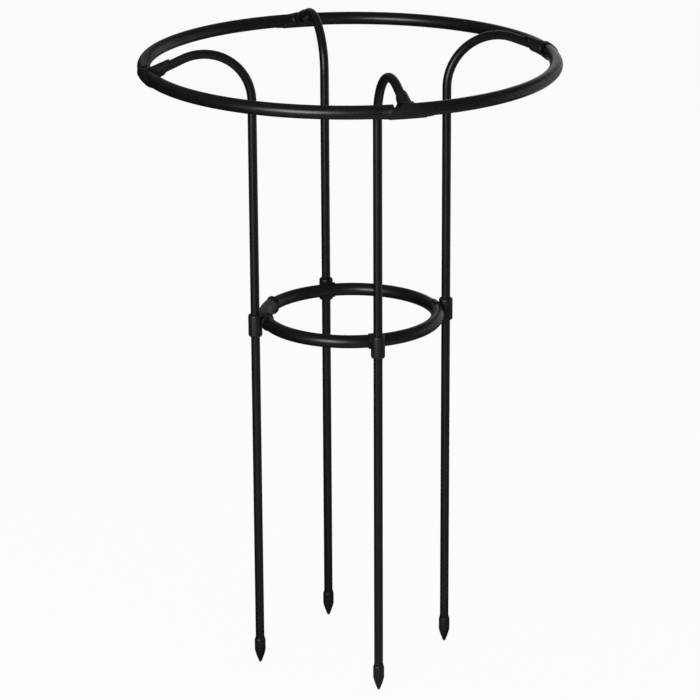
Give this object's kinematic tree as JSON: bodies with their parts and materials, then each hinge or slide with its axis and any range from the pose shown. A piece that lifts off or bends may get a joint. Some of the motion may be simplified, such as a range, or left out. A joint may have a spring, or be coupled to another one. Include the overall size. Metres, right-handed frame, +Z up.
{
  "type": "plant support",
  "caption": "Free-standing grow-through plant support: pointed stakes with bent tops carry a wide upper ring, and a smaller ring slides on the stakes below it.",
  "frame": {"origin": "on the ground in the middle of the four feet, under the centres of both rings", "axes": "+Z up along the stakes; +X through the right stake and +Y through the back stake"},
  "size_m": [0.5152, 0.5152, 0.7993],
  "materials": {
    "ring_tube": "black plastic coating, satin, faintly streaked along the tube",
    "stake_tube": "black plastic coating, satin, faintly streaked along the tube",
    "connector_plastic": "black moulded plastic, fine grain",
    "foot_plastic": "black moulded plastic, fine grain, scuffed at the point"
  },
  "bodies": {
    "frame": {"upper_ring_arc_right_back": "ring_tube", "upper_ring_arc_back_left": "ring_tube", "upper_ring_arc_left_front": "ring_tube", "upper_ring_arc_front_right": "ring_tube", "upper_connector_right": "connector_plastic", "upper_connector_back": "connector_plastic", "upper_connector_left": "connector_plastic", "upper_connector_front": "connector_plastic", "stake_right": "stake_tube", "stake_back": "stake_tube", "stake_left": "stake_tube", "stake_front": "stake_tube", "foot_right": "foot_plastic", "foot_back": "foot_plastic", "foot_left": "foot_plastic", "foot_front": "foot_plastic"},
    "lower_ring_group": {"lower_ring": "ring_tube", "lower_ring_joiner": "connector_plastic", "lower_connector_right": "connector_plastic", "lower_connector_back": "connector_plastic", "lower_connector_left": "connector_plastic", "lower_connector_front": "connector_plastic"}
  },
  "joints": [
    {"name": "lower_ring_slide", "type": "slide", "parent": "frame", "child": "lower_ring_group", "axis": [0, 0, 1], "range_m": [-0.4, 0.26]}
  ]
}
